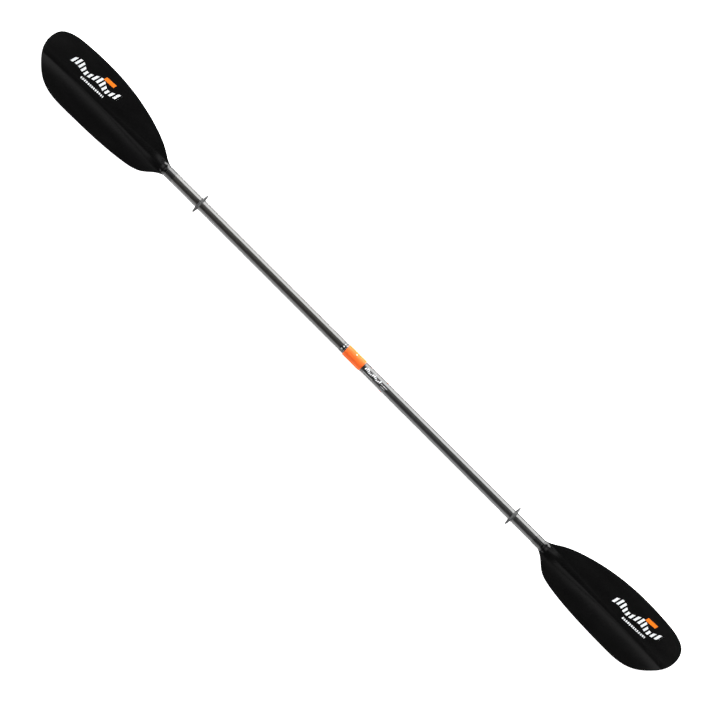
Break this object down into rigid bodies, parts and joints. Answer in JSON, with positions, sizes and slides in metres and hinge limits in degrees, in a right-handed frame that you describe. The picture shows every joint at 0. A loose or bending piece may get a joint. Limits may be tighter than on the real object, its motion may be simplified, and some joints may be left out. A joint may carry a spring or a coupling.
{
  "type": "kayak paddle",
  "caption": "Double-bladed kayak paddle: asymmetric dihedral blades, round carbon shaft, drip rings, and a turning ferrule that sets the feather angle and lets the halves pull apart.",
  "frame": {"origin": "centre of the ferrule collar, on the shaft's axis", "axes": "+X along the shaft from the left blade to the right blade, +Y towards the blades' long edge, +Z out of the blades' back faces, which lie upward"},
  "size_m": [2.3, 0.1659, 0.058],
  "materials": {
    "carbon": "gloss clear coat over woven carbon",
    "blade_nylon": "moulded, satin with a fine grain",
    "sleeve_black": "satin wrap",
    "scale_black": "satin print with pale marks",
    "drip_rubber": "soft matt rubber",
    "foam": "closed-cell foam",
    "collar_orange": "moulded, semi-gloss with shallow grip grooves",
    "button_orange": "moulded, semi-gloss",
    "pin_white": "polished",
    "ferrule_black": "moulded glass-filled nylon",
    "latch_plastic": "moulded acetal",
    "steel": "stainless",
    "seal_rubber": "smooth rubber"
  },
  "bodies": {
    "left_half": {"left_shaft_tube": "carbon", "left_blade": "blade_nylon", "left_blade_sleeve": "sleeve_black", "left_bulkhead": "foam", "feather_scale_band": "scale_black", "index_insert": "ferrule_black", "index_spring": "steel"},
    "spring_seat": {"index_spring_seat": "ferrule_black"},
    "feather_group": {"index_bolt": "steel", "index_washer": "steel", "ferrule_plug": "ferrule_black", "ferrule_collar": "collar_orange", "collar_pin": "pin_white", "ferrule_o_ring": "seal_rubber"},
    "right_half": {"right_shaft_tube": "carbon", "right_blade": "blade_nylon", "right_blade_sleeve": "sleeve_black", "right_bulkhead": "foam", "socket_liner": "ferrule_black", "socket_end_cup": "ferrule_black", "latch_ring": "latch_plastic"},
    "upper_release": {"upper_button": "button_orange"},
    "lower_release": {"lower_button": "button_orange"},
    "left_ring": {"left_drip_ring": "drip_rubber"},
    "right_ring": {"right_drip_ring": "drip_rubber"}
  },
  "joints": [
    {"name": "index_pull", "type": "slide", "parent": "left_half", "child": "spring_seat", "axis": [1, 0, 0], "range_m": [0, 0.006], "stiffness_N_per_m": 2500, "springref_m": -0.005, "deforming": ["index_spring"]},
    {"name": "feather_turn", "type": "hinge", "parent": "spring_seat", "child": "feather_group", "pos_m": [0, 0, 0], "axis": [1, 0, 0], "range_deg": [-60.2, 60.2]},
    {"name": "halves_apart", "type": "slide", "parent": "feather_group", "child": "right_half", "axis": [1, 0, 0], "range_m": [0, 0.12], "deforming": ["latch_ring"]},
    {"name": "upper_press", "type": "slide", "parent": "right_half", "child": "upper_release", "axis": [0, -1, 0], "range_m": [0, 0.0015], "stiffness_N_per_m": 2000, "springref_m": -0.0015, "deforming": ["latch_ring"]},
    {"name": "lower_press", "type": "slide", "parent": "right_half", "child": "lower_release", "axis": [0, 1, 0], "range_m": [0, 0.0015], "stiffness_N_per_m": 2000, "springref_m": -0.0015, "deforming": ["latch_ring"]},
    {"name": "left_ring_slide", "type": "slide", "parent": "left_half", "child": "left_ring", "axis": [1, 0, 0], "range_m": [-0.085, 0.15]},
    {"name": "right_ring_slide", "type": "slide", "parent": "right_half", "child": "right_ring", "axis": [1, 0, 0], "range_m": [-0.15, 0.07]}
  ]
}
